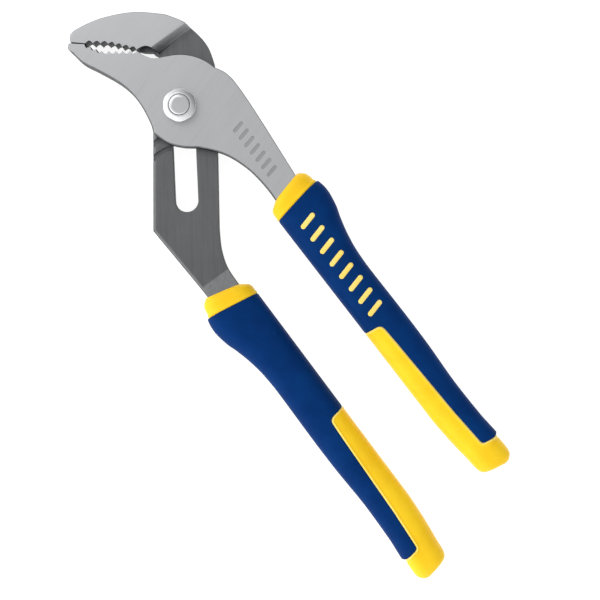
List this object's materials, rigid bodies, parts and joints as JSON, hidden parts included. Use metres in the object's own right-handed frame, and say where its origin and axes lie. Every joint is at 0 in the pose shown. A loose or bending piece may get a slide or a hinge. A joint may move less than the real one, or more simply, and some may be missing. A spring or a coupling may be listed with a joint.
{
  "type": "tongue and groove pliers",
  "caption": "Adjustable offset-jaw gripping pliers with a slotted lever, a nut-and-bolt pivot that steps down the slot, toothed jaws and two-colour moulded grips.",
  "frame": {"origin": "on the pivot axis, on the back face of the bolt head, in the plane that the tool lies on", "axes": "+Z along the pivot axis out of the nut, +Y up the adjusting slot towards the fixed jaw, jaws pointing along -X"},
  "size_m": [0.1658, 0.2261, 0.0203],
  "materials": {
    "gunmetal_steel": "dark forged steel, fine satin; the fixed jaw's face is ground bright",
    "satin_steel": "ground and satin polished nickel-chrome steel",
    "bright_steel": "bright plated steel",
    "yellow_rubber": "moulded thermoplastic rubber, fine matte texture",
    "blue_rubber": "moulded thermoplastic rubber, fine matte texture"
  },
  "bodies": {
    "rear_lever": {"rear_lever": "gunmetal_steel", "rear_grip_core": "yellow_rubber", "rear_grip_cover": "blue_rubber"},
    "pivot": {"pivot_bolt": "bright_steel", "pivot_nut": "bright_steel"},
    "front_lever": {"front_lever": "satin_steel", "front_grip_core": "yellow_rubber", "front_grip_cover": "blue_rubber"}
  },
  "joints": [
    {"name": "jaw_adjust", "type": "slide", "parent": "rear_lever", "child": "pivot", "axis": [0, -1, 0], "range_m": [0, 0.0324]},
    {"name": "handle_open", "type": "hinge", "parent": "pivot", "child": "front_lever", "pos_m": [0, 0, 0], "axis": [0, 0, 1], "range_deg": [0, 55]}
  ]
}
